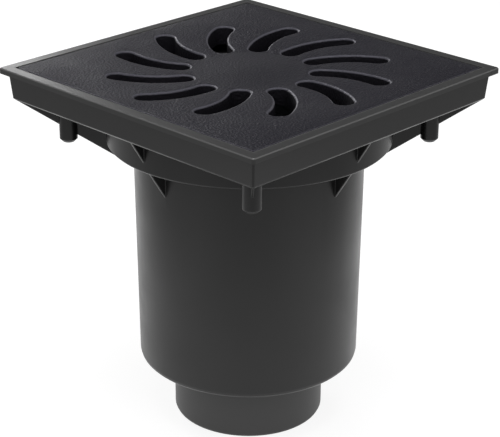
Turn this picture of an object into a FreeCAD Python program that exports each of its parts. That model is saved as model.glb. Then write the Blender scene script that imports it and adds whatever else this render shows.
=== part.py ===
# Yard gully with a vertical outlet, a square cast-iron grate, a silt bucket and a bell trap.
# Lengths are millimetres, Z is up, and the origin is the bottom centre of the outlet spigot.
import FreeCAD, Part
import Sketcher
import math
import os

V = FreeCAD.Vector

doc = FreeCAD.newDocument("yard_gully")
sheet = doc.addObject("Spreadsheet::Sheet", "Sizes")

# Driving sizes. The spigot is a DN110 pipe end, and the other sizes follow from it by the photograph.
DRIVING = [
    ("frame_side", 246.6, "outer side of the square rim"),
    ("overall_height", 264.0, "rim top to the end of the outlet"),
    ("rim_width", 8.3, "width of the rim's top face"),
    ("rim_corner", 2.0, "corner radius of the rim in plan"),
    ("rim_edge", 0.7, "broken top edge of the rim"),
    ("lip_height", 4.0, "height of the lip round the rim"),
    ("lip_overhang", 4.4, "lip standing out past the skirt"),
    ("skirt_draft", 1.6, "lean of the skirt towards its bottom"),
    ("skirt_corner", 1.4, "broken upright corner of the skirt"),
    ("skirt_edge", 1.5, "broken bottom edge of the skirt"),
    ("tray_depth", 23.7, "rim top to the underside of the tray"),
    ("wall", 3.0, "wall of the moulding"),
    ("collar_diameter", 202.0, "outside of the collar"),
    ("collar_depth", 50.3, "rim top to the underside of the collar"),
    ("collar_edge", 0.8, "broken bottom edge of the collar"),
    ("barrel_top_diameter", 164.5, "outside of the barrel at the collar"),
    ("barrel_end_diameter", 160.6, "outside of the barrel at its bottom"),
    ("barrel_depth", 218.4, "rim top to the underside of the barrel"),
    ("barrel_edge", 4.0, "rounding of the barrel's bottom edge"),
    ("outlet_diameter", 110.0, "outside of the DN110 spigot"),
    ("outlet_wall", 3.2, "wall of the spigot"),
    ("outlet_chamfer", 1.5, "lead-in at the end of the spigot"),
    ("web_thickness", 1.6, "thickness of webs and gussets"),
    ("web_foot_depth", 75.2, "rim top to the feet of the webs"),
    ("gusset_reach", 12.0, "upper gusset out from the collar"),
    ("gusset_drop", 19.2, "upper gusset down the collar"),
    ("brace_reach", 15.0, "lower gusset out from the barrel"),
    ("brace_drop", 23.1, "lower gusset down the barrel"),
    ("peg_spacing", 180.4, "distance between neighbouring pegs"),
    ("peg_diameter", 12.8, "corner peg"),
    ("peg_depth", 54.2, "rim top to the tip of a peg"),
    ("peg_edge", 2.2, "broken edge of the peg's tip"),
    ("peg_core", 6.0, "core that keeps the peg's wall even"),
    ("peg_core_depth", 27.0, "depth of the core from the tray floor"),
    ("grate_gap", 0.8, "play between grate and recess"),
    ("grate_plate", 14.0, "thickness of the grate's plate"),
    ("grate_rim", 8.0, "width of the grate's standing edge"),
    ("grate_corner", 1.5, "broken upright corner of the grate"),
    ("grate_edge", 0.7, "broken top edge of the grate"),
    ("dish_radius", 102.5, "outside of the dished ring"),
    ("dish_drop", 1.8, "depth of the dish at the hub"),
    ("hub_radius", 40.0, "plain hub"),
    ("hub_rise", 1.5, "rise of the hub's low cone"),
    ("slot_count", 12, "slots in the grate"),
    ("slot_inner_radius", 49.0, "centre of a slot's inner end"),
    ("slot_inner_turn", 7.0, "its angle, degrees"),
    ("slot_outer_radius", 93.0, "centre of a slot's outer end"),
    ("slot_outer_turn", 4.0, "its angle the other way, degrees"),
    ("slot_bend", 59.5, "bend radius of a slot's centre line"),
    ("slot_width", 14.0, "clear width of a slot"),
    ("seal_depth", 50.0, "water seal of the bell trap"),
    ("bell_gap", 10.0, "way under the edge of the bell"),
    ("bell_space", 11.0, "way between riser and bell"),
    ("bell_wall", 2.5, "wall of the bell"),
    ("crown_gap", 12.0, "way over the lip of the riser"),
    ("fin_thickness", 3.0, "fins the bell stands on"),
    ("fin_play", 0.8, "play of the fins round the riser"),
    ("fin_length", 30.0, "fins reaching down outside the riser"),
    ("lug_height", 11.0, "lifting lug on the bell"),
    ("lug_length", 40.0, "length of the lug at its foot"),
    ("lug_thickness", 5.0, "thickness of the lug"),
    ("bucket_lift", 4.0, "room between lug and bucket"),
    ("bucket_wall", 2.5, "wall of the bucket"),
    ("bucket_gap", 2.5, "play of the bucket in the barrel"),
    ("flange_gap", 1.5, "play of the bucket's flange in the collar"),
    ("flange_thickness", 3.0, "flange the bucket hangs by"),
    ("drain_count", 12, "drain slots round the bucket"),
    ("drain_width", 5.0, "width of a drain slot"),
    ("drain_below", 12.0, "flange underside to the top of the slots"),
    ("drain_height", 36.0, "height of the drain slots"),
    ("ear_radius", 6.0, "rounded head of a handle ear"),
    ("ear_thickness", 3.0, "thickness of a handle ear"),
    ("pin_diameter", 4.0, "pins of the handle"),
    ("pin_fit", 0.05, "play of a pin in its ear, on the radius"),
    ("strip_width", 5.0, "width of the handle's strip"),
    ("strip_thickness", 3.6, "thickness of the handle's strip"),
    ("strip_bend", 8.0, "outer bend of the handle's corners"),
    ("handle_rest", 0.5, "folded handle above the flange"),
    ("handle_head", 2.0, "raised handle below the grate"),
    ("handle_side", 0.5, "leg of the handle clear of the ear"),
    ("pin_past", 2.0, "pin standing out past the ear"),
]

# Sizes that follow from the driving ones.
FOLLOWING = [
    ("half_frame", "frame_side / 2"),
    ("skirt_top_half", "half_frame - lip_overhang"),
    ("recess_half", "half_frame - rim_width"),
    ("lean", "atan(skirt_draft / (tray_depth - lip_height))"),
    ("skirt_end_half", "skirt_top_half - skirt_draft"),
    ("lip_z", "overall_height - lip_height"),
    ("tray_z", "overall_height - tray_depth"),
    ("skirt_height", "tray_depth - lip_height"),
    ("floor_z", "tray_z + wall"),
    ("recess_depth", "tray_depth - wall"),
    ("throat_drop", "2 * wall"),
    ("collar_r", "collar_diameter / 2"),
    ("collar_in", "collar_r - wall"),
    ("collar_z", "overall_height - collar_depth"),
    ("ledge_z", "collar_z + wall"),
    ("barrel_r", "barrel_top_diameter / 2"),
    ("barrel_end_r", "barrel_end_diameter / 2"),
    ("barrel_least_r", "min(barrel_r; barrel_end_r)"),
    ("barrel_in", "barrel_least_r - wall"),
    ("barrel_z", "overall_height - barrel_depth"),
    ("heel_in", "barrel_end_r - barrel_edge"),
    ("heel_low_r", "barrel_end_r - barrel_edge * 0.5"),
    ("heel_low_z", "barrel_z + barrel_edge * 0.134"),
    ("heel_high_r", "barrel_end_r - barrel_edge * 0.134"),
    ("heel_high_z", "barrel_z + barrel_edge * 0.5"),
    ("heel_z", "barrel_z + barrel_edge"),
    ("collar_foot_r", "collar_r - collar_edge"),
    ("collar_foot_z", "collar_z + collar_edge"),
    ("sump_z", "barrel_z + wall"),
    ("outlet_r", "outlet_diameter / 2"),
    ("bore_r", "outlet_r - outlet_wall"),
    ("spigot_tip_r", "outlet_r - outlet_chamfer / 2"),
    ("riser_z", "sump_z + bell_gap + seal_depth"),
    ("web_top", "tray_z + wall / 2"),
    ("web_out", "skirt_end_half * sqrt(2) - skirt_corner - skirt_edge"),
    ("web_in", "collar_r - wall / 2"),
    ("web_root", "barrel_least_r - wall / 2"),
    ("web_shelf", "collar_z + wall / 2"),
    ("web_foot_z", "overall_height - web_foot_depth"),
    ("gusset_out", "collar_r + gusset_reach"),
    ("gusset_foot_z", "tray_z - gusset_drop"),
    ("brace_out", "barrel_r + brace_reach"),
    ("brace_foot_z", "collar_z - brace_drop"),
    ("peg_half", "peg_spacing / 2"),
    ("peg_tip_z", "overall_height - peg_depth"),
    ("peg_r", "peg_diameter / 2"),
    ("peg_run", "web_top - peg_tip_z"),
    ("core_r", "peg_core / 2"),
    ("grate_half", "recess_half - grate_gap"),
    ("grate_height", "recess_depth"),
    ("grate_under_z", "overall_height - grate_plate"),
    ("pan_half", "grate_half - grate_rim"),
    ("pan_depth", "grate_height - grate_plate"),
    ("dish_z", "overall_height - dish_drop"),
    ("hub_z", "dish_z + hub_rise"),
    ("dish_over", "overall_height + 2"),
    ("slot_in_x", "slot_inner_radius * cos(slot_inner_turn)"),
    ("slot_in_y", "slot_inner_radius * sin(slot_inner_turn)"),
    ("slot_out_x", "slot_outer_radius * cos(slot_outer_turn)"),
    ("slot_out_y", "slot_outer_radius * sin(slot_outer_turn)"),
    ("slot_far_r", "slot_bend + slot_width / 2"),
    ("slot_near_r", "slot_bend - slot_width / 2"),
    ("bell_in", "outlet_r + bell_space"),
    ("bell_out", "bell_in + bell_wall"),
    ("bell_edge_z", "sump_z + bell_gap"),
    ("crown_z", "riser_z + crown_gap"),
    ("crown_top", "crown_z + bell_wall"),
    ("fin_in", "bore_r + 0.4"),
    ("fin_side", "outlet_r + fin_play"),
    ("fin_out", "bell_in + bell_wall / 2"),
    ("fin_top", "crown_z + bell_wall / 2"),
    ("fin_end_z", "riser_z - fin_length"),
    ("lug_z", "crown_top - bell_wall / 2"),
    ("lug_top", "crown_top + lug_height"),
    ("lug_foot", "lug_length / 2"),
    ("lug_head", "lug_foot - 4"),
    ("eye_foot", "lug_foot - 9"),
    ("eye_z", "crown_top + 2"),
    ("eye_top", "lug_top - 4"),
    ("bucket_end_z", "lug_top + bucket_lift"),
    ("bucket_floor_z", "bucket_end_z + bucket_wall"),
    ("bucket_r", "barrel_in - bucket_gap"),
    ("bucket_in", "bucket_r - bucket_wall"),
    ("flange_r", "collar_in - flange_gap"),
    ("flange_top", "ledge_z + flange_thickness"),
    ("drain_top", "ledge_z - drain_below"),
    ("drain_end", "drain_top - drain_height"),
    ("drain_half", "drain_width / 2"),
    ("drain_reach", "bucket_r + 5"),
    ("pin_r", "pin_diameter / 2"),
    ("ear_hole_r", "pin_r + pin_fit"),
    ("ear_x", "bucket_r + 0.7"),
    ("ear_foot", "flange_top - flange_thickness / 2"),
    ("pivot_z", "flange_top + pin_r + handle_rest"),
    ("strip_z", "pivot_z - strip_thickness / 2"),
    ("leg_out", "ear_x - handle_side"),
    ("leg_in", "leg_out - strip_width"),
    ("leg_back", "pin_r / 2"),
    ("pin_length", "strip_width + handle_side + ear_thickness + pin_past"),
    ("handle_reach", "grate_under_z - handle_head - pivot_z"),
    ("grip_in", "handle_reach - strip_width"),
    ("bend_in", "strip_bend - strip_width"),
]

row = 1
for alias, value, note in DRIVING:
    sheet.set("A%d" % row, note)
    sheet.set("B%d" % row, str(value))
    sheet.setAlias("B%d" % row, alias)
    row += 1
for alias, formula in FOLLOWING:
    sheet.set("A%d" % row, alias)
    sheet.set("B%d" % row, "=" + formula)
    sheet.setAlias("B%d" % row, alias)
    row += 1
doc.recompute()


def size(alias):
    """The present value of one cell as a plain number."""
    value = sheet.get(alias)
    return float(getattr(value, "Value", value))


def signed(word):
    """A coordinate written as a cell name, with a minus sign in front for the far side."""
    if word == "0":
        return 0.0
    if word.startswith("-"):
        return -size(word[1:])
    return size(word)


def bind(target, prop, expression):
    """Ties one property to the sheet; every bare word in the expression is a cell."""
    target.setExpression(prop, expression)


def origin_part(body, role):
    for feature in body.Origin.OriginFeatures:
        if feature.Role == role:
            return feature


def new_sketch(body, name, role, lift=None, turn=0.0):
    """A sketch on one of the body's own planes, lifted off it by a cell or turned about Z."""
    sketch = body.newObject("Sketcher::SketchObject", name)
    sketch.AttachmentSupport = (origin_part(body, role), [""])
    sketch.MapMode = "FlatFace"
    if turn:
        sketch.AttachmentOffset = FreeCAD.Placement(V(0, 0, 0), FreeCAD.Rotation(V(0, 1, 0), turn))
    if lift:
        bind(sketch, "AttachmentOffset.Base.z", "Sizes." + lift)
    return sketch


def pin_down(sketch, geometry, end, x, y):
    """Holds one point at a pair of coordinates that are cells."""
    for kind, axis, word in (("DistanceX", -2, x), ("DistanceY", -1, y)):
        if word == "0":
            sketch.addConstraint(Sketcher.Constraint("PointOnObject", geometry, end, axis))
            continue
        value = abs(signed(word))
        if word.startswith("-"):
            number = sketch.addConstraint(Sketcher.Constraint(kind, geometry, end, -1, 1, value))
        else:
            number = sketch.addConstraint(Sketcher.Constraint(kind, -1, 1, geometry, end, value))
        bind(sketch, "Constraints[%d]" % number, "Sizes." + word.lstrip("-"))


def polygon(sketch, corners):
    """A closed outline of straight lines through corners that are pairs of cells."""
    points = [V(signed(x), signed(y), 0) for x, y in corners]
    first = sketch.GeometryCount
    count = len(points)
    for i in range(count):
        sketch.addGeometry(Part.LineSegment(points[i], points[(i + 1) % count]))
    for i in range(count):
        after = first + (i + 1) % count
        sketch.addConstraint(Sketcher.Constraint("Coincident", first + i, 2, after, 1))
    for i, (x, y) in enumerate(corners):
        pin_down(sketch, first + i, 1, x, y)


def circle(sketch, x, y, radius):
    number = sketch.addGeometry(Part.Circle(V(signed(x), signed(y), 0), V(0, 0, 1), size(radius)))
    pin_down(sketch, number, 3, x, y)
    held = sketch.addConstraint(Sketcher.Constraint("Radius", number, size(radius)))
    bind(sketch, "Constraints[%d]" % held, "Sizes." + radius)


def square(sketch, half):
    polygon(sketch, [("-" + half, "-" + half), (half, "-" + half), (half, half), ("-" + half, half)])


def feature_of(body, kind, name, sketch):
    feature = body.newObject("PartDesign::" + kind, name)
    feature.Profile = sketch
    return feature


def extrude(body, kind, name, sketch, length, reverse=False, symmetric=False, lean=None):
    """A pad or pocket whose length is a cell."""
    feature = feature_of(body, kind, name, sketch)
    if symmetric:
        feature.SideType = "Symmetric"
    feature.Reversed = reverse
    bind(feature, "Length", "Sizes." + length)
    if lean:
        bind(feature, "TaperAngle", lean)
    doc.recompute()
    return feature


def turned(body, kind, name, sketch):
    """A revolution or groove once round Z."""
    feature = feature_of(body, kind, name, sketch)
    feature.ReferenceAxis = (origin_part(body, "Z_Axis"), [""])
    feature.Angle = 360.0
    doc.recompute()
    return feature


def round_about(body, name, originals, count):
    """Repeats features evenly round Z; the count is a number or a cell."""
    pattern = body.newObject("PartDesign::PolarPattern", name)
    pattern.Originals = originals
    pattern.Axis = (origin_part(body, "Z_Axis"), [""])
    pattern.Angle = 360.0
    if isinstance(count, str):
        bind(pattern, "Occurrences", "Sizes." + count)
    else:
        pattern.Occurrences = count
    body.Tip = pattern
    doc.recompute()
    return pattern


def edges_of(feature, wanted):
    """Names of the edges that a test picks out."""
    return ["Edge%d" % (i + 1) for i, edge in enumerate(feature.Shape.Edges) if wanted(edge)]


def dressed(body, kind, name, base, wanted, amount):
    """Rounds (Fillet) or breaks (Chamfer) the edges that a test picks out; the amount is a cell."""
    dress = body.newObject("PartDesign::" + kind, name)
    dress.Base = (base, edges_of(base, wanted))
    bind(dress, {"Fillet": "Radius", "Chamfer": "Size"}[kind], "Sizes." + amount)
    body.Tip = dress
    doc.recompute()
    return dress


def level(edge, z):
    """True for an edge that lies flat at one height."""
    box = edge.BoundBox
    return abs(box.ZMin - z) < 0.01 and abs(box.ZMax - z) < 0.01


def upright_corner(edge, half, z_from, z_to):
    """True for a standing corner edge of a square of this half width."""
    box = edge.BoundBox
    if box.ZMin < z_from - 0.01 or box.ZMax > z_to + 0.01:
        return False
    if box.ZLength < 0.5 * (z_to - z_from):
        return False
    centre = edge.CenterOfMass
    return abs(abs(centre.x) - half) < 1.5 and abs(abs(centre.y) - half) < 1.5


# The body of the gully is one black moulding. Collar, barrel and outlet are turned in one section,
# and the outlet tube goes on upwards through the barrel floor as the riser of the trap. The rounded heel
# of the barrel is three short slopes.
body = doc.addObject("PartDesign::Body", "gully_body")
body.Label = "gully_body"
section = new_sketch(body, "BodySection", "XZ_Plane")
polygon(section, [
    ("bore_r", "0"), ("spigot_tip_r", "0"), ("outlet_r", "outlet_chamfer"), ("outlet_r", "barrel_z"),
    ("heel_in", "barrel_z"), ("heel_low_r", "heel_low_z"), ("heel_high_r", "heel_high_z"),
    ("barrel_end_r", "heel_z"), ("barrel_r", "collar_z"), ("collar_foot_r", "collar_z"),
    ("collar_r", "collar_foot_z"), ("collar_r", "floor_z"), ("collar_in", "floor_z"), ("collar_in", "ledge_z"),
    ("barrel_in", "ledge_z"), ("barrel_in", "sump_z"), ("outlet_r", "sump_z"), ("outlet_r", "riser_z"),
    ("bore_r", "riser_z"),
])
turned(body, "Revolution", "BarrelAndOutlet", section)

# The square skirt leans out towards the lip, and its bottom edge is broken.
plan = new_sketch(body, "SkirtPlan", "XY_Plane", "tray_z")
square(plan, "skirt_end_half")
skirt = extrude(body, "Pad", "Skirt", plan, "skirt_height", lean="Sizes.lean")
corners = dressed(body, "Chamfer", "SkirtCorners", skirt,
                  lambda e: upright_corner(e, size("skirt_end_half") + size("skirt_draft") / 2,
                                           size("tray_z"), size("lip_z")),
                  "skirt_corner")
hem = dressed(body, "Chamfer", "SkirtEdge", corners,
              lambda e: level(e, size("tray_z"))
              and max(abs(e.CenterOfMass.x), abs(e.CenterOfMass.y)) > size("skirt_end_half") - 2.0,
              "skirt_edge")

# The lip stands out all round the top.
plan = new_sketch(body, "LipPlan", "XY_Plane", "lip_z")
square(plan, "half_frame")
lip = extrude(body, "Pad", "Lip", plan, "lip_height")
corners = dressed(body, "Fillet", "LipCorners", lip,
                  lambda e: upright_corner(e, size("half_frame"), size("lip_z"), size("overall_height")),
                  "rim_corner")
crest = dressed(body, "Chamfer", "RimEdge", corners,
                lambda e: level(e, size("overall_height")), "rim_edge")

# The recess for the grate keeps the wall of the skirt even, and the collar opens through its floor.
plan = new_sketch(body, "RecessPlan", "XY_Plane", "overall_height")
square(plan, "recess_half")
recess = extrude(body, "Pocket", "Recess", plan, "recess_depth", lean="Sizes.lean * -1")
plan = new_sketch(body, "ThroatPlan", "XY_Plane", "floor_z")
circle(plan, "0", "0", "collar_in")
throat = extrude(body, "Pocket", "Throat", plan, "throat_drop")

# Four pegs key the tray into its concrete bed.
plan = new_sketch(body, "PegPlan", "XY_Plane", "web_top")
circle(plan, "peg_half", "peg_half", "peg_r")
peg = extrude(body, "Pad", "Peg", plan, "peg_run", reverse=True)
pegs = round_about(body, "Pegs", [peg], 4)
tips = dressed(body, "Chamfer", "PegTips", pegs, lambda e: level(e, size("peg_tip_z")), "peg_edge")

# Thin webs run on the diagonals from the corners of the skirt, past the collar, to the barrel.
side = new_sketch(body, "WebSide", "XZ_Plane", turn=45.0)
polygon(side, [
    ("web_out", "web_top"), ("web_out", "tray_z"), ("web_root", "web_foot_z"), ("web_root", "web_shelf"),
    ("web_in", "web_shelf"), ("web_in", "web_top"),
])
web = extrude(body, "Pad", "Web", side, "web_thickness", symmetric=True)
round_about(body, "Webs", [web], 4)

# Short gussets stand at the middle of each side, above and below the step of the collar.
side = new_sketch(body, "GussetSide", "XZ_Plane")
polygon(side, [
    ("gusset_out", "web_top"), ("gusset_out", "tray_z"), ("collar_r", "gusset_foot_z"),
    ("web_in", "gusset_foot_z"), ("web_in", "web_top"),
])
gusset = extrude(body, "Pad", "Gusset", side, "web_thickness", symmetric=True)
round_about(body, "Gussets", [gusset], 4)
side = new_sketch(body, "BraceSide", "XZ_Plane")
polygon(side, [
    ("brace_out", "web_shelf"), ("brace_out", "collar_z"), ("barrel_r", "brace_foot_z"),
    ("web_root", "brace_foot_z"), ("web_root", "web_shelf"),
])
brace = extrude(body, "Pad", "Brace", side, "web_thickness", symmetric=True)
round_about(body, "Braces", [brace], 4)

# A core from above keeps the wall of each peg even.
plan = new_sketch(body, "CorePlan", "XY_Plane", "floor_z")
circle(plan, "peg_half", "peg_half", "core_r")
core = extrude(body, "Pocket", "PegCore", plan, "peg_core_depth")
round_about(body, "PegCores", [core], 4)


def slot_outline(sketch):
    """One curved slot of even width: two arcs about one centre, closed by round ends."""
    inner = V(size("slot_in_x"), size("slot_in_y"), 0)
    outer = V(size("slot_out_x"), -size("slot_out_y"), 0)
    along = outer - inner
    chord = along.Length
    along.normalize()
    bulge = V(-along.y, along.x, 0)
    bend = size("slot_bend")
    rise = bend - math.sqrt(bend * bend - chord * chord / 4)
    centre = (inner + outer) * 0.5 + bulge * (rise - bend)
    start = math.atan2(inner.y - centre.y, inner.x - centre.x)
    end = math.atan2(outer.y - centre.y, outer.x - centre.x)
    half = size("slot_width") / 2
    up = V(0, 0, 1)
    far = Part.ArcOfCircle(Part.Circle(centre, up, size("slot_far_r")), end, start)
    near = Part.ArcOfCircle(Part.Circle(centre, up, size("slot_near_r")), end, start)
    head = Part.ArcOfCircle(Part.Circle(inner, up, half), start, start + math.pi)
    foot = Part.ArcOfCircle(Part.Circle(outer, up, half), end + math.pi, end + 2 * math.pi)
    for arc in (far, head, near, foot):
        sketch.addGeometry(arc)
    add = sketch.addConstraint
    add(Sketcher.Constraint("Tangent", 0, 2, 1, 1))
    add(Sketcher.Constraint("Tangent", 1, 2, 2, 2))
    add(Sketcher.Constraint("Tangent", 2, 1, 3, 1))
    add(Sketcher.Constraint("Tangent", 3, 2, 0, 1))
    add(Sketcher.Constraint("Coincident", 0, 3, 2, 3))
    for number, radius in ((0, "slot_far_r"), (2, "slot_near_r")):
        held = add(Sketcher.Constraint("Radius", number, size(radius)))
        bind(sketch, "Constraints[%d]" % held, "Sizes." + radius)
    pin_down(sketch, 1, 3, "slot_in_x", "slot_in_y")
    pin_down(sketch, 3, 3, "slot_out_x", "-slot_out_y")


# The grate is one iron casting: a square plate on a standing edge, level with the rim.
grate = doc.addObject("PartDesign::Body", "grate")
grate.Label = "grate"
plan = new_sketch(grate, "GratePlan", "XY_Plane", "overall_height")
square(plan, "grate_half")
slab = extrude(grate, "Pad", "GrateSlab", plan, "grate_height", reverse=True, lean="Sizes.lean * -1")
corners = dressed(grate, "Chamfer", "GrateCorners", slab,
                  lambda e: upright_corner(e, size("grate_half") - size("skirt_draft") / 2,
                                           size("floor_z"), size("overall_height")),
                  "grate_corner")
brim = dressed(grate, "Chamfer", "GrateEdge", corners, lambda e: level(e, size("overall_height")), "grate_edge")
plan = new_sketch(grate, "PanPlan", "XY_Plane", "grate_under_z")
square(plan, "pan_half")
pan = extrude(grate, "Pocket", "Pan", plan, "pan_depth", lean="Sizes.lean")

# Its top is dished round a low cone, and the twelve slots swing round the cone.
side = new_sketch(grate, "DishSide", "XZ_Plane")
polygon(side, [("0", "hub_z"), ("hub_radius", "dish_z"), ("dish_radius", "overall_height"),
               ("dish_radius", "dish_over"), ("0", "dish_over")])
dish = turned(grate, "Groove", "Dish", side)
plan = new_sketch(grate, "SlotPlan", "XY_Plane", "overall_height")
slot_outline(plan)
slot = extrude(grate, "Pocket", "Slot", plan, "grate_height")
round_about(grate, "Slots", [slot], "slot_count")

# The bell of the trap stands by four fins on the lip of the riser and dips into the water round it.
bell = doc.addObject("PartDesign::Body", "bell_trap")
bell.Label = "bell_trap"
side = new_sketch(bell, "BellSide", "XZ_Plane")
polygon(side, [("0", "crown_top"), ("bell_out", "crown_top"), ("bell_out", "bell_edge_z"),
               ("bell_in", "bell_edge_z"), ("bell_in", "crown_z"), ("0", "crown_z")])
turned(bell, "Revolution", "Cup", side)
side = new_sketch(bell, "FinSide", "XZ_Plane")
polygon(side, [("fin_in", "fin_top"), ("fin_out", "fin_top"), ("fin_out", "fin_end_z"),
               ("fin_side", "fin_end_z"), ("fin_side", "riser_z"), ("fin_in", "riser_z")])
fin = extrude(bell, "Pad", "Fin", side, "fin_thickness", symmetric=True)
round_about(bell, "Fins", [fin], 4)
side = new_sketch(bell, "LugSide", "XZ_Plane")
polygon(side, [("-lug_foot", "lug_z"), ("lug_foot", "lug_z"), ("lug_head", "lug_top"), ("-lug_head", "lug_top")])
polygon(side, [("-eye_foot", "eye_z"), ("eye_foot", "eye_z"), ("eye_foot", "eye_top"), ("-eye_foot", "eye_top")])
lug = extrude(bell, "Pad", "Lug", side, "lug_thickness", symmetric=True)

# The silt bucket hangs by its flange on the ledge of the collar and drains through its wall.
bucket = doc.addObject("PartDesign::Body", "silt_bucket")
bucket.Label = "silt_bucket"
side = new_sketch(bucket, "BucketSide", "XZ_Plane")
polygon(side, [
    ("0", "bucket_end_z"), ("bucket_r", "bucket_end_z"), ("bucket_r", "ledge_z"), ("flange_r", "ledge_z"),
    ("flange_r", "flange_top"), ("bucket_in", "flange_top"), ("bucket_in", "bucket_floor_z"), ("0", "bucket_floor_z"),
])
turned(bucket, "Revolution", "Pail", side)
side = new_sketch(bucket, "DrainSide", "XZ_Plane")
polygon(side, [("-drain_half", "drain_end"), ("drain_half", "drain_end"),
               ("drain_half", "drain_top"), ("-drain_half", "drain_top")])
drain = extrude(bucket, "Pocket", "Drain", side, "drain_reach")
round_about(bucket, "Drains", [drain], "drain_count")

# Two ears on the flange carry the pins of the handle.
side = new_sketch(bucket, "EarSide", "YZ_Plane", "ear_x")
head = V(0, size("pivot_z"), 0)
reach = size("ear_radius")
foot_z = size("ear_foot")
side.addGeometry(Part.ArcOfCircle(Part.Circle(head, V(0, 0, 1), reach), 0, math.pi))
side.addGeometry(Part.LineSegment(V(-reach, head.y, 0), V(-reach, foot_z, 0)))
side.addGeometry(Part.LineSegment(V(-reach, foot_z, 0), V(reach, foot_z, 0)))
side.addGeometry(Part.LineSegment(V(reach, foot_z, 0), V(reach, head.y, 0)))
side.addConstraint(Sketcher.Constraint("Tangent", 0, 2, 1, 1))
side.addConstraint(Sketcher.Constraint("Coincident", 1, 2, 2, 1))
side.addConstraint(Sketcher.Constraint("Coincident", 2, 2, 3, 1))
side.addConstraint(Sketcher.Constraint("Tangent", 3, 2, 0, 1))
side.addConstraint(Sketcher.Constraint("Vertical", 1))
side.addConstraint(Sketcher.Constraint("Vertical", 3))
side.addConstraint(Sketcher.Constraint("Horizontal", 2))
held = side.addConstraint(Sketcher.Constraint("Radius", 0, reach))
bind(side, "Constraints[%d]" % held, "Sizes.ear_radius")
pin_down(side, 0, 3, "0", "pivot_z")
held = side.addConstraint(Sketcher.Constraint("DistanceY", -1, 1, 2, 1, foot_z))
bind(side, "Constraints[%d]" % held, "Sizes.ear_foot")
circle(side, "0", "pivot_z", "ear_hole_r")
ear = extrude(bucket, "Pad", "Ear", side, "ear_thickness")
round_about(bucket, "Ears", [ear], 2)

# The handle is one moulded strip, drawn folded flat over the flange; each leg ends in a round knuckle and pin.
handle = doc.addObject("PartDesign::Body", "bucket_handle")
handle.Label = "bucket_handle"
plan = new_sketch(handle, "StripPlan", "XY_Plane", "strip_z")
polygon(plan, [
    ("leg_out", "-leg_back"), ("leg_out", "handle_reach"), ("-leg_out", "handle_reach"), ("-leg_out", "-leg_back"),
    ("-leg_in", "-leg_back"), ("-leg_in", "grip_in"), ("leg_in", "grip_in"), ("leg_in", "-leg_back"),
])
strip = extrude(handle, "Pad", "Strip", plan, "strip_thickness")


def strip_corner(edge, side, out):
    """True for a standing edge at one pair of the strip's corners."""
    middle = edge.CenterOfMass
    return (edge.BoundBox.ZLength > 0.5 * size("strip_thickness")
            and abs(abs(middle.x) - size(side)) < 0.05 and abs(middle.y - size(out)) < 0.05)


bends = dressed(handle, "Fillet", "OuterBends", strip,
                lambda e: strip_corner(e, "leg_out", "handle_reach"), "strip_bend")
bends = dressed(handle, "Fillet", "InnerBends", bends,
                lambda e: strip_corner(e, "leg_in", "grip_in"), "bend_in")
ring = new_sketch(handle, "PinRound", "YZ_Plane", "leg_in")
circle(ring, "0", "pivot_z", "pin_r")
pin = extrude(handle, "Pad", "Pin", ring, "pin_length")
round_about(handle, "Pins", [pin], 2)

# Every piece is checked before its file is written.
doc.recompute()
for item in doc.Objects:
    if "Invalid" in item.State or "Error" in item.State:
        raise RuntimeError("%s did not build: %s" % (item.Name, item.State))
    if item.TypeId == "Sketcher::SketchObject" and item.solve() != 0:
        raise RuntimeError("%s is not solved" % item.Name)
os.makedirs("parts", exist_ok=True)
for piece in (body, grate, bell, bucket, handle):
    shape = piece.Shape
    if shape.isNull() or not shape.isValid() or len(shape.Solids) != 1:
        raise RuntimeError("%s is not one valid solid" % piece.Label)
    shape.exportStep("parts/%s.step" % piece.Label)
    box = shape.optimalBoundingBox(False, False)
    print("%-14s %9.0f mm3  x %.2f %.2f  y %.2f %.2f  z %.2f %.2f" % (
        piece.Label, shape.Volume, box.XMin, box.XMax, box.YMin, box.YMax, box.ZMin, box.ZMax))
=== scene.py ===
# %% [markdown]
# A yard gully with a square iron grate.
#
# A gully like this is set in concrete with its rim level with the paving. Rain falls through the
# curved slots of the grate into a silt bucket, and leaves through a water trap into the drain pipe.
# The shapes come from the CAD model, so this lesson is about finish: moulded plastic, cast iron,
# and a white studio that shows dark things well.

# %% Load the CAD model as a fixed frame
import bmesh
import bpy
import math
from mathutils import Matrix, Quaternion, Vector
from mathutils.geometry import delaunay_2d_cdt


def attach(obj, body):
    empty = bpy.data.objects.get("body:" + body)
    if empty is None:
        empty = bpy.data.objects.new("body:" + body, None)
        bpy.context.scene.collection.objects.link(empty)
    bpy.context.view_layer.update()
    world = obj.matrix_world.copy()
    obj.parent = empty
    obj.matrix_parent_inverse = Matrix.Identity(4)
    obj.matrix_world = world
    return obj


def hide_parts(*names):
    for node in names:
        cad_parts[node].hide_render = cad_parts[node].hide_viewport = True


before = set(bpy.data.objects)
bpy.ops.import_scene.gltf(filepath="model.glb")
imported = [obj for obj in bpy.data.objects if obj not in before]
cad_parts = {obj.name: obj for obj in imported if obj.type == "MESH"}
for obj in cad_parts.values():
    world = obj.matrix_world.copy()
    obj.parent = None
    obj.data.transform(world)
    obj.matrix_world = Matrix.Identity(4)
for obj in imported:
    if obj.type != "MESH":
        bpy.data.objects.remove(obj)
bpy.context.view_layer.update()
print("nodes:", sorted(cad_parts))

# %% [markdown]
# A few small helpers serve every material. Colours are written as sRGB hex values, the way a colour
# card gives them, and turned to the linear values that Blender mixes with. Patterns are sized in real
# millimetres. One helper adds a shader node, sets its options, and fills each input with a number or
# with another node's output, which keeps a material as short as a list of its parts.

# %% Helpers for colours and nodes
def linear(hex_colour):
    channels = [int(hex_colour[i:i + 2], 16) / 255 for i in (1, 3, 5)]
    curve = [c / 12.92 if c <= 0.04045 else ((c + 0.055) / 1.055) ** 2.4 for c in channels]
    return (*curve, 1.0)


def per_metre(millimetres):
    """A texture scale whose features are about this many millimetres across."""
    return 1000.0 / millimetres


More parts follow.
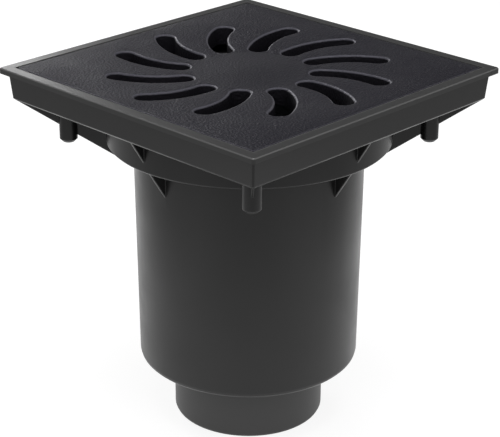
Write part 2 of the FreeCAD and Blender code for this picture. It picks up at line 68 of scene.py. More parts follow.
def add(tree, kind, options=None, inputs=None):
    made = tree.nodes.new(kind)
    for name, value in (options or {}).items():
        setattr(made, name, value)
    for name, value in (inputs or {}).items():
        if isinstance(value, bpy.types.NodeSocket):
            tree.links.new(value, made.inputs[name])
        else:
            made.inputs[name].default_value = value
    return made


def new_material(name):
    material = bpy.data.materials.new(name)
    material.use_nodes = True
    material.node_tree.nodes.clear()
    return material, material.node_tree


print("half grey is", round(linear("#808080")[0], 3), "in linear light")

# %% [markdown]
# Black mouldings are read by their edges, which the tool leaves rounded and which catch the light.
# That highlight is painted: outward edges are coloured a little paler. A bevel would change the CAD
# mesh, so the Bevel node rounds only the normal. Where that normal turns away from the face there is
# an edge, and where open space surrounds the spot it is an outward one, not an inner corner.

# %% Painted highlight on outward edges
EDGE_ROUND = 0.0012       # metres
HIGHLIGHT_TURN = (0.99, 0.92)  # cosine of the turn at which the painted highlight starts, and at which it is full
OPEN_SPACE = (0.65, 0.9)  # open share around the spot at which an edge starts to count, and counts fully
OPEN_REACH = 2.5 * EDGE_ROUND


def outward_edges(tree):
    """A rounded normal, and a mask that is 1 on outward edges and 0 on faces and in inner corners."""
    rounded = add(tree, "ShaderNodeBevel", {"samples": 8}, {"Radius": EDGE_ROUND})
    face = add(tree, "ShaderNodeNewGeometry")
    turn = add(tree, "ShaderNodeVectorMath", {"operation": "DOT_PRODUCT"}, {
        0: rounded.outputs["Normal"], 1: face.outputs["Normal"]})
    edge = add(tree, "ShaderNodeMapRange", inputs={
        "Value": turn.outputs["Value"], "From Min": HIGHLIGHT_TURN[0], "From Max": HIGHLIGHT_TURN[1]})
    space = add(tree, "ShaderNodeAmbientOcclusion", {"samples": 6}, {"Distance": OPEN_REACH})
    outward = add(tree, "ShaderNodeMapRange", inputs={
        "Value": space.outputs["AO"], "From Min": OPEN_SPACE[0], "From Max": OPEN_SPACE[1]})
    edge_highlight = add(tree, "ShaderNodeMath", {"operation": "MULTIPLY"}, {
        0: edge.outputs["Result"], 1: outward.outputs["Result"]})
    return rounded.outputs["Normal"], edge_highlight.outputs["Value"]


print("edges are rounded by", round(EDGE_ROUND * 1000, 1), "mm")

# %% [markdown]
# The turned walls of the CAD mesh start and end on one line, on the side of +X. The normals of its two
# sides don't meet there, which would show as a faint line in the gloss. Welding the mesh would mend
# it, but a CAD mesh is never changed. So near that line the normal is worked out from the place on
# the wall: it points straight away from the upright axis.

# %% Round walls without a seam
SEAM_REACH = 0.012           # metres to either side of the line
TURNED_WITHIN = 0.1          # spigot, barrel and collar lie within this radius, and the skirt beyond it
ROUND_FACE = 0.97            # cosine of the angle within which a face looks straight outward
NO_HEIGHT = (1.0, 1.0, 0.0)  # a place multiplied by this loses its height


def round_wall(tree, place):
    """The normal of a round wall about the upright axis, and a mask of the strip along the seam."""
    spot = add(tree, "ShaderNodeSeparateXYZ", inputs={"Vector": place})
    face = add(tree, "ShaderNodeNewGeometry")
    level = add(tree, "ShaderNodeVectorMath", {"operation": "MULTIPLY"}, {0: place, 1: NO_HEIGHT})
    radius = add(tree, "ShaderNodeVectorMath", {"operation": "LENGTH"}, {0: level.outputs["Vector"]})
    outward = add(tree, "ShaderNodeVectorMath", {"operation": "NORMALIZE"}, {0: level.outputs["Vector"]})
    agree = add(tree, "ShaderNodeVectorMath", {"operation": "DOT_PRODUCT"}, {
        0: outward.outputs["Vector"], 1: face.outputs["True Normal"]})
    limits = (("GREATER_THAN", {0: agree.outputs["Value"], 1: ROUND_FACE}),
              ("LESS_THAN", {0: radius.outputs["Value"], 1: TURNED_WITHIN}),
              ("GREATER_THAN", {0: spot.outputs["X"], 1: 0.0}))
    strip = add(tree, "ShaderNodeMath", {"operation": "COMPARE"}, {
        0: spot.outputs["Y"], 1: 0.0, 2: SEAM_REACH})
    for test, values in limits:
        passed = add(tree, "ShaderNodeMath", {"operation": test}, values)
        strip = add(tree, "ShaderNodeMath", {"operation": "MULTIPLY"}, {
            0: strip.outputs["Value"], 1: passed.outputs["Value"]})
    return outward.outputs["Vector"], strip.outputs["Value"]


print("the seam is mended over", round(2 * SEAM_REACH * 1000, 1), "mm")

# %% [markdown]
# Light and reflections are painted onto the body in four places. The spigot is made duller and painted
# paler, a painted reflection of the bright floor just in front of it. The barrel is painted a little
# paler towards the bottom, a painted reflection of the nearer floor. The lip is painted paler, its
# sides more than its top, as painted light, and its broken top edge is painted palest, a painted
# highlight. Such marks could be painted on an image. Here height and the lean of a face find the
# places, so they stay sharp from near and far.

# %% Painted light and reflection on the body
SPIGOT_FADE = (0.040, 0.046)    # heights in metres between which the spigot's painted reflection and dullness end
FLOOR_REFLECTION_FADE = (0.05, 0.17)        # heights between which the painted floor reflection thins out
FLOOR_REFLECTION = 0.07
LIP_FADE = (0.2600, 0.2604)     # heights between which the lip begins
LIP_SIDE, LIP_TOP = 0.28, 0.15  # how much painted light its sides and its top get
BROKEN_EDGE = 0.707             # upward lean of a face at 45 degrees
LEAN_RANGE = 0.1


def painted_light_masks(tree, height, lean):
    """Masks of the spigot, of all painted light and reflection, and of the broken edges."""
    spigot = add(tree, "ShaderNodeMapRange", inputs={
        "Value": height, "From Min": SPIGOT_FADE[0], "From Max": SPIGOT_FADE[1],
        "To Min": 1.0, "To Max": 0.0})
    floor_reflection = add(tree, "ShaderNodeMapRange", inputs={
        "Value": height, "From Min": FLOOR_REFLECTION_FADE[0], "From Max": FLOOR_REFLECTION_FADE[1],
        "To Min": FLOOR_REFLECTION, "To Max": 0.0})
    lean_light = add(tree, "ShaderNodeMapRange", inputs={
        "Value": lean, "To Min": LIP_SIDE, "To Max": LIP_TOP})
    lip = add(tree, "ShaderNodeMapRange", inputs={
        "Value": height, "From Min": LIP_FADE[0], "From Max": LIP_FADE[1],
        "To Min": 0.0, "To Max": lean_light.outputs["Result"]})
    broken = add(tree, "ShaderNodeMath", {"operation": "COMPARE"}, {
        0: lean, 1: BROKEN_EDGE, 2: LEAN_RANGE}).outputs["Value"]
    painted_light = spigot.outputs["Result"]
    for other in (floor_reflection.outputs["Result"], lip.outputs["Result"], broken):
        painted_light = add(tree, "ShaderNodeMath", {"operation": "MAXIMUM"}, {
            0: painted_light, 1: other}).outputs["Value"]
    return spigot.outputs["Result"], painted_light, broken


# The spigot and the lower barrel are painted paler: a painted reflection of the floor.
print("the spigot is scuffed up to", round(SPIGOT_FADE[0] * 1000), "mm")
print("the dust thins out at", round(FLOOR_REFLECTION_FADE[1] * 1000), "mm")

# %% [markdown]
# These masks are laid over a plain finish. The edge under the lip, where the two halves of the tool
# met, is the one that stays crisp and black, so there the rounded normal and the painted edge
# highlight are taken back. A material of its own for each place would need cuts in the mesh, so one
# material mixes them all.

# %% Painted light and reflection, laid over a plain finish
PAINTED_LIGHT_COLOUR = "#5a5a5a"
SPIGOT_ROUGHNESS = 0.5
PARTING_REACH = 0.0018  # metres about the lip's lower edge that get no painted edge highlight


def painted_light_marks(tree, place, shade, gloss, normal, edge_highlight):
    """The plain finish with the body's painted light laid over it: its colour, gloss, normal and painted
    edge highlight.
    """
    height = add(tree, "ShaderNodeSeparateXYZ", inputs={"Vector": place}).outputs["Z"]
    face = add(tree, "ShaderNodeNewGeometry")
    lean = add(tree, "ShaderNodeSeparateXYZ", inputs={"Vector": face.outputs["True Normal"]}).outputs["Z"]
    spigot, painted_light, broken = painted_light_masks(tree, height, lean)
    # Painted reflection on the spigot and low barrel, painted light on the lip, painted highlight on the
    # broken edge.
    shade = add(tree, "ShaderNodeMix", {"data_type": "RGBA"}, {0: painted_light, 6: shade, 7: linear(PAINTED_LIGHT_COLOUR)})
    gloss = add(tree, "ShaderNodeMapRange", inputs={
        "Value": spigot, "To Min": gloss, "To Max": SPIGOT_ROUGHNESS})
    outward, strip = round_wall(tree, place)
    strip = add(tree, "ShaderNodeMath", {"operation": "SUBTRACT", "use_clamp": True}, {0: strip, 1: edge_highlight})
    parting = add(tree, "ShaderNodeMath", {"operation": "COMPARE"}, {
        0: height, 1: LIP_FADE[0], 2: PARTING_REACH})
    for mask, better in ((strip, outward), (parting, face.outputs["Normal"])):
        normal = add(tree, "ShaderNodeMix", {"data_type": "VECTOR"}, {
            0: mask.outputs["Value"], 4: normal, 5: better}).outputs[1]
    for no_highlight in (parting.outputs["Value"], broken):
        edge_highlight = add(tree, "ShaderNodeMath", {"operation": "SUBTRACT", "use_clamp": True}, {
            0: edge_highlight, 1: no_highlight}).outputs["Value"]
    return shade.outputs[2], gloss.outputs["Result"], normal, edge_highlight


print("the lip's lower edge stays crisp over", round(2 * PARTING_REACH * 1000, 1), "mm")

# %% [markdown]
# The body is polypropylene filled with carbon black, moulded in a spark-eroded tool. The eye sees a
# nearly black plastic with a soft sheen: the tool leaves a very fine grain, and the melt leaves faint
# cloudy streaks in the gloss where it flowed. A single black would look cut out of paper, so one noise
# shifts colour and gloss together, and a much finer one gives the grain.

# %% Black polypropylene, moulded
FLOW_CLOUD = 45.0         # mm
GRAIN = 0.7               # mm; about 0.2 on the real thing, drawn coarser because finer would not show
GRAIN_DEPTH = 0.0002      # metres
GRAIN_STRENGTH = 0.05
NOISE_RANGE = (0.3, 0.7)  # nearly all values of a noise lie between these
GLOSS_SPREAD = 0.05
POLYPROPYLENE_IOR = 1.45


def moulded_polypropylene(name, colour, pale_colour, edge_highlight_colour, roughness, marks=None):
    material, tree = new_material(name)
    place = add(tree, "ShaderNodeTexCoord").outputs["Object"]
    clouds = add(tree, "ShaderNodeTexNoise", inputs={
        "Vector": place, "Scale": per_metre(FLOW_CLOUD), "Detail": 3.0, "Roughness": 0.6})
    grain = add(tree, "ShaderNodeTexNoise", inputs={
        "Vector": place, "Scale": per_metre(GRAIN), "Detail": 2.0, "Roughness": 0.5})
    shade = add(tree, "ShaderNodeMix", {"data_type": "RGBA"}, {
        0: clouds.outputs["Fac"], 6: linear(colour), 7: linear(pale_colour)}).outputs[2]
    gloss = add(tree, "ShaderNodeMapRange", inputs={
        "Value": clouds.outputs["Fac"], "From Min": NOISE_RANGE[0], "From Max": NOISE_RANGE[1],
        "To Min": roughness - GLOSS_SPREAD, "To Max": roughness + GLOSS_SPREAD}).outputs["Result"]
    normal, edge_highlight = outward_edges(tree)
    if marks:
        shade, gloss, normal, edge_highlight = marks(tree, place, shade, gloss, normal, edge_highlight)
    # Outward edges get the paler edge colour here: a painted highlight.
    painted_highlight = add(tree, "ShaderNodeMix", {"data_type": "RGBA"}, {0: edge_highlight, 6: shade, 7: linear(edge_highlight_colour)})
    relief = add(tree, "ShaderNodeBump", inputs={
        "Height": grain.outputs["Fac"], "Normal": normal,
        "Strength": GRAIN_STRENGTH, "Distance": GRAIN_DEPTH})
    surface = add(tree, "ShaderNodeBsdfPrincipled", inputs={
        "Base Color": painted_highlight.outputs[2], "Roughness": gloss,
        "Normal": relief.outputs["Normal"], "IOR": POLYPROPYLENE_IOR})
    add(tree, "ShaderNodeOutputMaterial", inputs={"Surface": surface.outputs["BSDF"]})
    print("made", name, "with", len(tree.nodes), "nodes")
    return material


# The third colour is the painted edge highlight, and the marks add painted light and reflection.
body_plastic = moulded_polypropylene(
    "black_polypropylene", "#191919", "#1e1e1e", "#444444", 0.36, painted_light_marks)

# %% [markdown]
# The grate is grey iron, cast in sand. The sand leaves a pebbled skin that breaks up every reflection.
# The hub is cast against a finer facing of sand, so its skin is smoother. Displacing the mesh would
# take millions of faces, so a bump does it: a noise gives the grains, and a Voronoi pattern the pits
# between them.

# %% Sand-cast skin
SAND_GRAIN = 1.5           # mm; nearer 1 on the real thing, drawn a little coarser so that it shows
PIT_SPACING = 1.7          # mm, coarser than the real pits for the same reason
HUB_EDGE = (0.039, 0.041)  # metres from the middle, between which the finer skin ends


def sand_skin(tree, place):
    """The grains, their height with the pits, and a mask that is 0 on the smooth hub and 1 beyond it."""
    sand = add(tree, "ShaderNodeTexNoise", inputs={
        "Vector": place, "Scale": per_metre(SAND_GRAIN), "Detail": 4.0, "Roughness": 0.62})
    pits = add(tree, "ShaderNodeTexVoronoi", {"feature": "SMOOTH_F1"}, {
        "Vector": place, "Scale": per_metre(PIT_SPACING), "Smoothness": 0.6})
    height = add(tree, "ShaderNodeMath", {"operation": "ADD"}, {
        0: sand.outputs["Fac"], 1: pits.outputs["Distance"]})
    level = add(tree, "ShaderNodeVectorMath", {"operation": "MULTIPLY"}, {0: place, 1: NO_HEIGHT})
    from_middle = add(tree, "ShaderNodeVectorMath", {"operation": "LENGTH"}, {0: level.outputs["Vector"]})
    beyond_hub = add(tree, "ShaderNodeMapRange", inputs={
        "Value": from_middle.outputs["Value"], "From Min": HUB_EDGE[0], "From Max": HUB_EDGE[1]})
    return sand.outputs["Fac"], height.outputs["Value"], beyond_hub.outputs["Result"]


print("grains of", SAND_GRAIN, "mm, pits", PIT_SPACING, "mm apart")

# %% [markdown]
# The casting is dipped in a thin blue-black coating, which settles a little paler on the high grains
# than in the pits. The rounded rims of the slots and the outer top edge are painted paler, a painted
# highlight, and the walls below them are painted darker, a painted shade. A material can't tell a rim
# from a wall by itself, so the mesh further down says where they are, in two attributes, one for each.

# %% Colours of the dipped coating, with painted highlight and painted shade
PIT_COLOUR, GRAIN_COLOUR = "#100f14", "#28272d"
PATCH_COLOUR = "#1b1a20"
RIM_HIGHLIGHT_COLOUR = "#504f56"
WALL_SHADE_COLOUR = "#18171b"


def coat_colour(tree, grains, patches, painted_highlight, painted_shade):
    high = add(tree, "ShaderNodeMapRange", inputs={
        "Value": grains, "From Min": NOISE_RANGE[0], "From Max": NOISE_RANGE[1]})
    coat = add(tree, "ShaderNodeMix", {"data_type": "RGBA"}, {
        0: high.outputs["Result"], 6: linear(PIT_COLOUR), 7: linear(GRAIN_COLOUR)})
    for share, colour in ((patches, PATCH_COLOUR), (painted_highlight, RIM_HIGHLIGHT_COLOUR), (painted_shade, WALL_SHADE_COLOUR)):
        coat = add(tree, "ShaderNodeMix", {"data_type": "RGBA"}, {
            0: share, 6: coat.outputs[2], 7: linear(colour)})
    return coat.outputs[2]


# The rim colour is a painted highlight.
print("the coating runs from", PIT_COLOUR, "in the pits to", RIM_HIGHLIGHT_COLOUR, "on the rims")

# %% [markdown]
# The finish of the grate joins the skin and the coating. The eye sees the coating and not bare metal,
# so the shader isn't metallic, and because pits hide most of the glints of a pebbled skin, its
# specular level is low. A glossier shader with a stronger bump would sparkle instead. The rims, worn
# smooth, are the one place with a sheen.

# %% Dipped cast iron
COAT_PATCH = 30.0    # mm
DULL = (0.56, 0.66)  # roughness of the coating, between its patches
HUB_ROUGHNESS, RIM_ROUGHNESS = 0.46, 0.36
HUB_RELIEF, FULL_RELIEF = 0.55, 1.0
SKIN_DEPTH = 0.0004  # metres
COAT_SPECULAR = 0.154
COAT_TINT = "#f0eeff"


def dipped_iron(name):
    material, tree = new_material(name)
    place = add(tree, "ShaderNodeTexCoord").outputs["Object"]
    # Rims carry a painted highlight and walls a painted shade, as the mesh marks them.
    painted_highlight = add(tree, "ShaderNodeAttribute", {"attribute_name": "painted_highlight"}).outputs["Fac"]
    painted_shade = add(tree, "ShaderNodeAttribute", {"attribute_name": "painted_shade"}).outputs["Fac"]
    patches = add(tree, "ShaderNodeTexNoise", inputs={
        "Vector": place, "Scale": per_metre(COAT_PATCH), "Detail": 3.0, "Roughness": 0.55}).outputs["Fac"]
    grains, height, beyond_hub = sand_skin(tree, place)
    dull = add(tree, "ShaderNodeMapRange", inputs={
        "Value": patches, "From Min": NOISE_RANGE[0], "From Max": NOISE_RANGE[1],
        "To Min": DULL[0], "To Max": DULL[1]})
    skin = add(tree, "ShaderNodeMapRange", inputs={
        "Value": beyond_hub, "To Min": HUB_ROUGHNESS, "To Max": dull.outputs["Result"]})
    gloss = add(tree, "ShaderNodeMapRange", inputs={
        "Value": painted_highlight, "To Min": skin.outputs["Result"], "To Max": RIM_ROUGHNESS})
    coarse = add(tree, "ShaderNodeMapRange", inputs={
        "Value": beyond_hub, "To Min": HUB_RELIEF, "To Max": FULL_RELIEF})
    relief = add(tree, "ShaderNodeBump", inputs={
        "Height": height, "Strength": coarse.outputs["Result"], "Distance": SKIN_DEPTH})
    surface = add(tree, "ShaderNodeBsdfPrincipled", inputs={
        "Base Color": coat_colour(tree, grains, patches, painted_highlight, painted_shade),
        "Roughness": gloss.outputs["Result"], "Normal": relief.outputs["Normal"],
        "Specular IOR Level": COAT_SPECULAR, "Specular Tint": linear(COAT_TINT)})
    add(tree, "ShaderNodeOutputMaterial", inputs={"Surface": surface.outputs["BSDF"]})
    print("made", name, "with", len(tree.nodes), "nodes")
    return material


grate_iron = dipped_iron("dipped_cast_iron")

# %% [markdown]
# The CAD grate has sharp slot rims. On a casting they are rounded by a millimetre or two, and that
# rounding is what catches the light, so the grate is drawn again here with the same sizes and round
# rims. A bevel on cut holes would leave uneven strips along the arcs, so the loops are worked out.
# A slot is a bar of even width bent to an arc: two arcs about one centre, closed by half circles.
# Because its width is the only thing that grows towards the top, one function gives every loop of it.

# %% One slot as a loop of points, in millimetres
SLOTS = 12
SLOT_TURNS = [2 * math.pi * k / SLOTS for k in range(SLOTS)]
SLOT_BEND = 59.5  # radius of the slot's middle line
SLOT_HALF = 7.0   # half of its width
ARC_STEPS, END_STEPS = 22, 14


def polar(radius, angle):
    return Vector((radius * math.cos(angle), radius * math.sin(angle)))


def turned(spot, turn):
    """A point turned about the grate's middle. Blender's matrices are too coarse to keep sides straight."""
    x, y = spot
    return (x * math.cos(turn) - y * math.sin(turn), x * math.sin(turn) + y * math.cos(turn))


INNER_END = polar(49.0, math.radians(7.0))
OUTER_END = polar(93.0, math.radians(-4.0))


def slot_loop(widen, turn):
    """Points round one slot whose half width is enlarged by widen, turned about the grate's middle."""
    along = OUTER_END - INNER_END
    hollow = math.sqrt(SLOT_BEND ** 2 - along.length_squared / 4)
    along.normalize()
    centre = (INNER_END + OUTER_END) / 2 - Vector((-along.y, along.x)) * hollow
    first = math.atan2(*(OUTER_END - centre).yx)
    last = math.atan2(*(INNER_END - centre).yx)
    half = SLOT_HALF + widen
    sweeps = ((centre, SLOT_BEND + half, first, last, ARC_STEPS),
              (INNER_END, half, last, last + math.pi, END_STEPS),
              (centre, SLOT_BEND - half, last, first, ARC_STEPS),
              (OUTER_END, half, first + math.pi, first + 2 * math.pi, END_STEPS))
    return [turned(middle + polar(radius, start + (end - start) * i / steps), turn)
            for middle, radius, start, end, steps in sweeps for i in range(steps)]


print("one slot loop has", len(slot_loop(0.0, 0.0)), "points")

# %% [markdown]
# The outline is a square with small round corners, with many points on its sides so that the sheet's
# triangles stay even. The top isn't flat: rain has to find the slots, so a shallow ring falls from the
# border to a low cone in the middle. A formula for the height of any point keeps the mesh free of
# modelling by hand.

# %% The outline and the dished top, in millimetres
SIDE_STEPS, CORNER_STEPS = 40, 6
GRATE_TOP = 264.0
HUB_RADIUS, HUB_TOP, HUB_FOOT = 40.0, 263.7, 262.2
DISH_RADIUS = 102.5  # here the shallow ring meets the flat border


def square_loop(half, corner):
    """Points round a square with rounded corners."""
    flat = half - corner
    side = [(half, -flat + 2 * flat * i / SIDE_STEPS) for i in range(SIDE_STEPS)]
    for i in range(CORNER_STEPS):
        angle = math.pi / 2 * i / CORNER_STEPS
        side.append((flat + corner * math.cos(angle), flat + corner * math.sin(angle)))
    return [turned(spot, quarter * math.pi / 2) for quarter in range(4) for spot in side]


def top_height(x, y):
    r = math.hypot(x, y)
    if r < HUB_RADIUS:
        return HUB_TOP - (HUB_TOP - HUB_FOOT) * r / HUB_RADIUS
    rise = (r - HUB_RADIUS) / (DISH_RADIUS - HUB_RADIUS)
    return min(GRATE_TOP, HUB_FOOT + (GRATE_TOP - HUB_FOOT) * rise)


print("the dish is", round(GRATE_TOP - HUB_FOOT, 2), "mm deep")

# %% [markdown]
# The top and the underside are sheets with twelve holes, a job for a Delaunay triangulation. It joins
# the loops and some loose points between them into even triangles, and the triangles that fall inside
# a slot are thrown away. A boolean would give the holes too, but long thin triangles with them.

# %% Sheets with twelve holes
SLIVER = 0.01       # mm, half width of a slot shrunk to its middle line
LOOSE_CLEAR = 0.8   # mm that loose points keep from a slot
SAME_POINT = 1e-5   # mm within which two points are one
ALL_TRIANGLES = 0   # the way of triangulating that fills the holes too


def from_slots(spot, middle_lines):
    return min((spot - point).length for point in middle_lines)


def sheet_with_slots(mesh, outline, widen, rings, height):
    """Triangles between an outline and the slots; returns the vertices of the outline and each slot."""
    middle_lines = [Vector(point) for turn in SLOT_TURNS for point in slot_loop(SLIVER - SLOT_HALF, turn)]
    spots = []
    loops = []
    for loop in [outline] + [slot_loop(widen, turn) for turn in SLOT_TURNS]:
        loops.append(range(len(spots), len(spots) + len(loop)))
        spots += [Vector(point) for point in loop]
    loose = [polar(radius, 2 * math.pi * i / count) for radius, count in rings for i in range(count)]
    spots += [spot for spot in loose if from_slots(spot, middle_lines) > SLOT_HALF + widen + LOOSE_CLEAR]
    edges = [(loop[i - 1], loop[i]) for loop in loops for i in range(len(loop))]
    flat, _, faces, origin, _, _ = delaunay_2d_cdt(spots, edges, [], ALL_TRIANGLES, SAME_POINT)
    verts = [mesh.verts.new((p.x, p.y, height(p.x, p.y))) for p in flat]
    for face in faces:
        middle = sum((flat[i] for i in face), Vector((0, 0))) / 3
        if from_slots(middle, middle_lines) > SLOT_HALF + widen:
            mesh.faces.new([verts[i] for i in face])
    home = {old: new for new, olds in enumerate(origin) for old in olds}
    print("a sheet of", len(verts), "points round", len(loops) - 1, "slots")
    return [[verts[home[i]] for i in loop] for loop in loops]


print("loose points keep", LOOSE_CLEAR, "mm from a slot")

# %% [markdown]
# Strips of quads carry each rim round in a quarter circle and down its wall, and the outer edge down
# to the narrow face that the grate stands on. A screw modifier could sweep a profile too, but here
# every loop also says how much painted highlight and how much painted shade it gets.

# %% Rims, walls and the standing edge, in millimetres
RIM_ROUND = 1.6
RIM_STEPS = 6
EDGE_LOOPS = (  # half side, corner radius, height, painted highlight, painted shade
    (113.64, 1.8, 263.87, 0.8, 0.0),
    (114.01, 2.0, 263.5, 0.0, 1.0),
    (114.14, 2.1, 263.0, 0.0, 1.0),
    (112.5, 2.1, 243.3, 0.0, 1.0),
    (105.7, 1.6, 243.3, 0.0, 1.0),
)


def strip_between(mesh, lower, upper):
    for i in range(len(lower)):
        mesh.faces.new([lower[i - 1], lower[i], upper[i], upper[i - 1]])


def strip_down(mesh, upper, spots, painted_highlight, painted_shade):
    """A strip of quads from the upper vertices down to new ones, which it marks and returns."""
    lower = [mesh.verts.new(spot) for spot in spots]
    for vert in lower:
        vert[mesh.verts.layers.float["painted_highlight"]] = painted_highlight
        vert[mesh.verts.layers.float["painted_shade"]] = painted_shade
    strip_between(mesh, lower, upper)
    return lower


def slot_wall(mesh, rim, foot, turn):
    """One slot's rim and wall: painted highlight most half way round the bend, and painted shade from its
    last steps on.
    """
    for step in range(1, RIM_STEPS + 1):
        bend = math.pi / 2 * step / RIM_STEPS
        drop = RIM_ROUND * (1 - math.cos(bend))
        loop = slot_loop(RIM_ROUND * (1 - math.sin(bend)), turn)
        spots = [(x, y, top_height(x, y) - drop) for x, y in loop]
        rim = strip_down(mesh, rim, spots, math.sin(2 * bend), max(0.0, 1 - 4 * math.cos(bend)))
    for vert in foot:
        vert[mesh.verts.layers.float["painted_shade"]] = 1.0
    strip_between(mesh, foot, rim)


def standing_edge(mesh, rim, foot):
    """The outer edge, down to the face that the grate stands on and up again to its underside."""
    for half, corner, z, painted_highlight, painted_shade in EDGE_LOOPS:
        spots = [(x, y, z) for x, y in square_loop(half, corner)]
        rim = strip_down(mesh, rim, spots, painted_highlight, painted_shade)
    strip_between(mesh, foot, rim)


print("each rim is rounded by", RIM_ROUND, "mm in", RIM_STEPS, "steps")

# %% [markdown]
# Now the loops are put together, all in millimetres like the drawing of a casting. More loose points
# lie on the hub and along the dish than on the underside, because only the top is curved. A
# subdivided plane would need far more points to follow the same loops.

# %% The grate's mesh
UNDERSIDE = 250.0
TOP_OUTLINE = square_loop(113.14, 1.6)
UNDER_OUTLINE = square_loop(106.2, 1.6)
TOP_RINGS = [(39.6, 120), (28.0, 60), (16.0, 36), (6.0, 12), (102.7, 144)]  # radius, loose points
TOP_RINGS += [(radius, 96) for radius in (50.0, 60.0, 70.0, 80.0, 90.0, 108.0)]
UNDER_RINGS = [(radius, 72) for radius in (30.0, 60.0, 90.0)]
TO_METRES = (0.001, 0.001, 0.001)

mesh = bmesh.new()
mesh.verts.layers.float.new("painted_highlight")
mesh.verts.layers.float.new("painted_shade")
top = sheet_with_slots(mesh, TOP_OUTLINE, RIM_ROUND, TOP_RINGS, top_height)
under = sheet_with_slots(mesh, UNDER_OUTLINE, 0.0, UNDER_RINGS, lambda x, y: UNDERSIDE)
for rim, foot, turn in zip(top[1:], under[1:], SLOT_TURNS):
    slot_wall(mesh, rim, foot, turn)
standing_edge(mesh, top[0], under[0])
bmesh.ops.recalc_face_normals(mesh, faces=mesh.faces)
bmesh.ops.scale(mesh, vec=TO_METRES, verts=mesh.verts)
grate_mesh = bpy.data.meshes.new("cast_grate")
mesh.to_mesh(grate_mesh)
mesh.free()
print("the grate has", len(grate_mesh.polygons), "faces")

# %% [markdown]
# Faces are shaded smooth, apart from edges sharper than 40 degrees, so the rims look round and the
# standing edge stays crisp. The new piece stands for the CAD node, which goes on working in the
# simulation, and it rides on the same body.

# %% The cast grate
SHARP_EDGE = math.radians(40)

grate_mesh.shade_smooth()
grate_mesh.set_sharp_from_angle(angle=SHARP_EDGE)
grate_mesh.materials.append(grate_iron)
cast_grate = bpy.data.objects.new("cast_grate", grate_mesh)
bpy.context.collection.objects.link(cast_grate)
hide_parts("grate")
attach(cast_grate, "gully")
print("the grate is", [round(side * 1000, 1) for side in cast_grate.dimensions], "mm")

# %% [markdown]
# The lift-out pieces inside are polypropylene too, in plain dark greys, each a shade apart so that
# they are easy to tell from the body in the dark shaft. The bell is the palest, because it sits
# deepest. Their shapes are right in the CAD model, so they only get the moulded finish.

# %% The inner pieces
FINISHES = {
    "gully_body": body_plastic,
    # The third colour of each is its painted edge highlight.
    "silt_bucket": moulded_polypropylene("bucket_polypropylene", "#242628", "#2b2d2f", "#3a3c3e", 0.42),
    "bell_trap": moulded_polypropylene("bell_polypropylene", "#3c4043", "#45494c", "#54585b", 0.40),
    "bucket_handle": moulded_polypropylene("handle_polypropylene", "#313336", "#393b3e", "#484a4d", 0.38),
}
for node, finish in FINISHES.items():
    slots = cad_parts[node].data.materials
    slots.clear()
    slots.append(finish)
print("finished", len(FINISHES), "CAD nodes")

# %% [markdown]
# The gully stands on a strip of white paper on a pale grey studio floor. A dark object is drawn by
# what it mirrors: the paper puts bright edges on the round barrel, and the greyer floor in front
# leaves its middle dark. A second mesh for the paper would show its edges, so soft fades in the
# floor's own material draw it.

# %% White paper on a grey floor
TO_FRONT = (0.707, -0.707, 0.0)  # along the diagonals of the square
TO_SIDE = (0.707, 0.707, 0.0)
PAPER_SIDE = (0.32, 0.48)   # metres from the middle between which the paper ends at its sides
PAPER_FRONT = (0.12, 0.72)  # and in front
PAPER_GLOW, FLOOR_GLOW = 0.88, 0.32


def paper_glow(tree):
    """How much the floor glows at a place: most on the paper, less beside it and in front of it."""
    place = add(tree, "ShaderNodeTexCoord").outputs["Object"]
    across = add(tree, "ShaderNodeVectorMath", {"operation": "DOT_PRODUCT"}, {0: place, 1: TO_SIDE})
    sideways = add(tree, "ShaderNodeMath", {"operation": "ABSOLUTE"}, {0: across.outputs["Value"]})
    beside = add(tree, "ShaderNodeMapRange", {"interpolation_type": "SMOOTHSTEP"}, {
        "Value": sideways.outputs["Value"], "From Min": PAPER_SIDE[0], "From Max": PAPER_SIDE[1]})
    ahead = add(tree, "ShaderNodeVectorMath", {"operation": "DOT_PRODUCT"}, {0: place, 1: TO_FRONT})
    before = add(tree, "ShaderNodeMapRange", {"interpolation_type": "SMOOTHSTEP"}, {
        "Value": ahead.outputs["Value"], "From Min": PAPER_FRONT[0], "From Max": PAPER_FRONT[1]})
    off_paper = add(tree, "ShaderNodeMath", {"operation": "MAXIMUM"}, {
        0: beside.outputs["Result"], 1: before.outputs["Result"]})
    return add(tree, "ShaderNodeMapRange", inputs={
        "Value": off_paper.outputs["Value"], "To Min": PAPER_GLOW, "To Max": FLOOR_GLOW}).outputs["Result"]


print("the paper is about", round(sum(PAPER_SIDE), 2), "m wide")

# %% [markdown]
# More light would whiten the paper but also bleach the object. So the paper glows a little, for rays
# from the camera and for reflections alone, and its paint under the glow keeps the shadow.

# %% Floor
FLOOR_SIZE = 14.0  # metres
FLOOR_PAINT = "#868686"

floor_paint, tree = new_material("white_paper_on_grey_floor")
ray = add(tree, "ShaderNodeLightPath")
seen = ray.outputs["Is Camera Ray"]
for kind in ("Is Glossy Ray", "Is Transmission Ray"):
    seen = add(tree, "ShaderNodeMath", {"operation": "MAXIMUM"}, {
        0: seen, 1: ray.outputs[kind]}).outputs["Value"]
lift = add(tree, "ShaderNodeMath", {"operation": "MULTIPLY"}, {0: seen, 1: paper_glow(tree)})
paint = add(tree, "ShaderNodeBsdfDiffuse", inputs={"Color": linear(FLOOR_PAINT)})
shine = add(tree, "ShaderNodeEmission", inputs={"Strength": lift.outputs["Value"]})
both = add(tree, "ShaderNodeAddShader", inputs={0: paint.outputs["BSDF"], 1: shine.outputs["Emission"]})
add(tree, "ShaderNodeOutputMaterial", inputs={"Surface": both.outputs["Shader"]})

bpy.ops.mesh.primitive_plane_add(size=FLOOR_SIZE, location=(0.0, 0.0, 0.0))
floor = bpy.context.object
floor.name = "studio_floor"
floor.data.materials.append(floor_paint)
print("made", floor.name, "with", floor_paint.name)

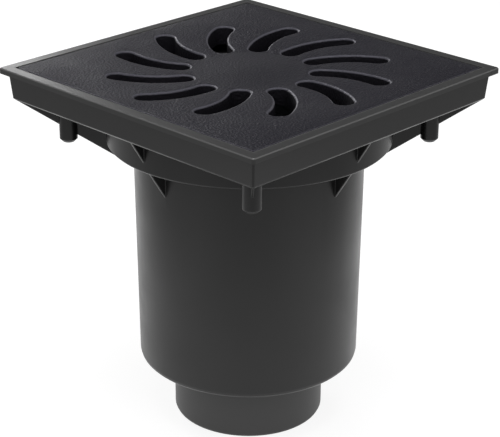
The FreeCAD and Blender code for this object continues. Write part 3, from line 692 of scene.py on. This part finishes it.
# %% [markdown]
# The flat top mirrors what stands behind it, low over the floor. A sky that is white only at the
# horizon and dim above keeps the grate dark and still lets the paper run into white. In front, where
# the skirt and the barrel look, the sky is a pale grey. Two mixes in the world do this, where a
# painted backdrop would have to be turned with every view.

# %% Sky
HORIZON, UPPER_SKY, FRONT_SKY = "#ffffff", "#6a6a6a", "#c4c4c4"
HORIZON_FADE = (0.03, 0.17)  # upward part of a direction between which the horizon dims
FRONT_FADE = (-0.1, 0.5)     # forward part of it between which the front sky begins

world = bpy.data.worlds.new("studio_sky")
bpy.context.scene.world = world
world.use_nodes = True
tree = world.node_tree
tree.nodes.clear()
direction = add(tree, "ShaderNodeTexCoord").outputs["Generated"]
upward = add(tree, "ShaderNodeSeparateXYZ", inputs={"Vector": direction}).outputs["Z"]
dimming = add(tree, "ShaderNodeMapRange", inputs={
    "Value": upward, "From Min": HORIZON_FADE[0], "From Max": HORIZON_FADE[1]})
behind = add(tree, "ShaderNodeMix", {"data_type": "RGBA"}, {
    0: dimming.outputs["Result"], 6: linear(HORIZON), 7: linear(UPPER_SKY)})
forward = add(tree, "ShaderNodeVectorMath", {"operation": "DOT_PRODUCT"}, {0: direction, 1: TO_FRONT})
front = add(tree, "ShaderNodeMapRange", inputs={
    "Value": forward.outputs["Value"], "From Min": FRONT_FADE[0], "From Max": FRONT_FADE[1]})
sky = add(tree, "ShaderNodeMix", {"data_type": "RGBA"}, {
    0: front.outputs["Result"], 6: behind.outputs[2], 7: linear(FRONT_SKY)})
glow = add(tree, "ShaderNodeBackground", inputs={"Color": sky.outputs[2]})
add(tree, "ShaderNodeOutputWorld", inputs={"Surface": glow.outputs["Background"]})
print("made", world.name)

# %% [markdown]
# Three soft lamps, as a photographer would set them for a black product. The large one overhead lights
# everything, one low at the left lays its sheen on the rim, and a weak one at the right keeps the far
# edges apart from the grate. They are area lamps, because a large lamp gives soft shadows.

# %% Lamps
def soft_lamp(name, place, aim, width, height, watts):
    lamp = bpy.data.lights.new(name, "AREA")
    lamp.shape = "RECTANGLE"
    lamp.size = width
    lamp.size_y = height
    lamp.energy = watts
    holder = bpy.data.objects.new(name, lamp)
    holder.location = place
    holder.rotation_euler = (Vector(aim) - Vector(place)).to_track_quat("-Z", "Y").to_euler()
    bpy.context.collection.objects.link(holder)
    print("lit", name, "with", watts, "W")


soft_lamp("overhead_softbox", place=(0.25, -0.25, 2.3), aim=(0, 0, 0.1), width=1.3, height=1.3, watts=34)
soft_lamp("right_softbox", place=(0.65, 1.20, 1.45), aim=(0, 0, 0.2), width=0.8, height=0.8, watts=1.2)
soft_lamp("rim_softbox", place=(-1.5, 0.54, 0.75), aim=(0, 0, 0.22), width=0.7, height=0.6, watts=8.5)

# %% [markdown]
# The photograph looks along the diagonal of the square, from above, through a long lens. The place,
# the lens and the small roll below were solved from the edges of the rim and the outline of the barrel,
# because a camera set by eye never lines up at every edge.

# %% Camera
LENS, SENSOR = 117.05, 36.0                 # mm
EYE = Vector((0.7508, -0.7735, 0.6193))     # metres
AIM = Vector((0.00054, 0.00054, 0.14945))
ROLL = 0.0048                               # radians

camera = bpy.data.cameras.new("photo_view")
camera.sensor_fit = "HORIZONTAL"
camera.sensor_width = SENSOR
camera.lens = LENS
camera.clip_start = 0.01
view = bpy.data.objects.new("photo_view", camera)
view.location = EYE
level_view = (AIM - EYE).to_track_quat("-Z", "Y")
view.rotation_euler = (level_view @ Quaternion((0.0, 0.0, 1.0), ROLL)).to_euler()
bpy.context.collection.objects.link(view)
bpy.context.scene.camera = view
bpy.context.scene.view_settings.view_transform = "Standard"
print("the camera stands", round((AIM - EYE).length, 3), "m from the gully")
